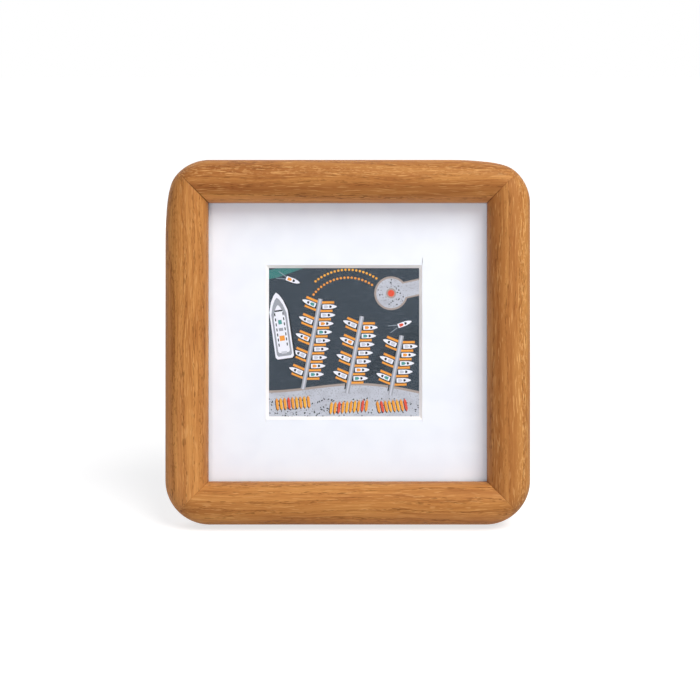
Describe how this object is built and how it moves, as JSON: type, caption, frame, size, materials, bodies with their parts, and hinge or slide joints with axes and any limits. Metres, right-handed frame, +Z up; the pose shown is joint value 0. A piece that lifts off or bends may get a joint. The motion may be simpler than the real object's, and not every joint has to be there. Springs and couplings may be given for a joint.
{
  "type": "wooden photo frame stand",
  "caption": "Square oak photo frame with routed round corners, glazing, bevelled mat and print, standing on a hinged easel leg.",
  "frame": {"origin": "on the table, below the middle of the standing frame's bounding box", "axes": "+X to the right of someone who faces the picture, +Y away from them, +Z up"},
  "size_m": [0.184, 0.076, 0.1823],
  "materials": {
    "oak": "oiled, satin",
    "bright_steel": "bright drawn",
    "clear_glass": "clear, polished",
    "white_mat_board": "matt, fine tooth",
    "printed_paper": "matt",
    "grey_card": "raw",
    "hardboard": "smooth pressed fibre, oil tempered",
    "zinc_plated_steel": "zinc plated",
    "nickel_plated_steel": "nickel plated, stamped",
    "brass_plated_steel": "brass plated"
  },
  "bodies": {
    "frame_assembly": {"rail_top": "oak", "rail_bottom": "oak", "rail_left": "oak", "rail_right": "oak", "corner_v_nails": "bright_steel", "glazing": "clear_glass", "mat_board": "white_mat_board", "print": "printed_paper", "backing_card": "grey_card", "back_board": "hardboard", "turn_button_screws": "zinc_plated_steel", "hinge_board_leaf": "nickel_plated_steel", "hinge_board_rivets": "nickel_plated_steel", "hinge_pin": "bright_steel", "hanger_plate": "brass_plated_steel", "hanger_nails": "brass_plated_steel"},
    "leg_assembly": {"easel_leg": "hardboard", "hinge_leg_leaf": "nickel_plated_steel", "hinge_leg_rivets": "nickel_plated_steel"},
    "button_left_upper": {"turn_button_left_upper": "zinc_plated_steel"},
    "button_left_lower": {"turn_button_left_lower": "zinc_plated_steel"},
    "button_right_upper": {"turn_button_right_upper": "zinc_plated_steel"},
    "button_right_lower": {"turn_button_right_lower": "zinc_plated_steel"}
  },
  "joints": [
    {"name": "leg_hinge", "type": "hinge", "parent": "frame_assembly", "child": "leg_assembly", "pos_m": [0, 0.01049, 0.12442], "axis": [1, 0, 0], "range_deg": [-24, 0]},
    {"name": "button_left_upper_turn", "type": "hinge", "parent": "frame_assembly", "child": "button_left_upper", "pos_m": [-0.0835, 0.00939, 0.13079], "axis": [0, 0.9781, -0.2079], "continuous": true},
    {"name": "button_left_lower_turn", "type": "hinge", "parent": "frame_assembly", "child": "button_left_lower", "pos_m": [-0.0835, -0.00807, 0.04863], "axis": [0, 0.9781, -0.2079], "continuous": true},
    {"name": "button_right_upper_turn", "type": "hinge", "parent": "frame_assembly", "child": "button_right_upper", "pos_m": [0.0835, 0.00939, 0.13079], "axis": [0, 0.9781, -0.2079], "continuous": true},
    {"name": "button_right_lower_turn", "type": "hinge", "parent": "frame_assembly", "child": "button_right_lower", "pos_m": [0.0835, -0.00807, 0.04863], "axis": [0, 0.9781, -0.2079], "continuous": true}
  ]
}
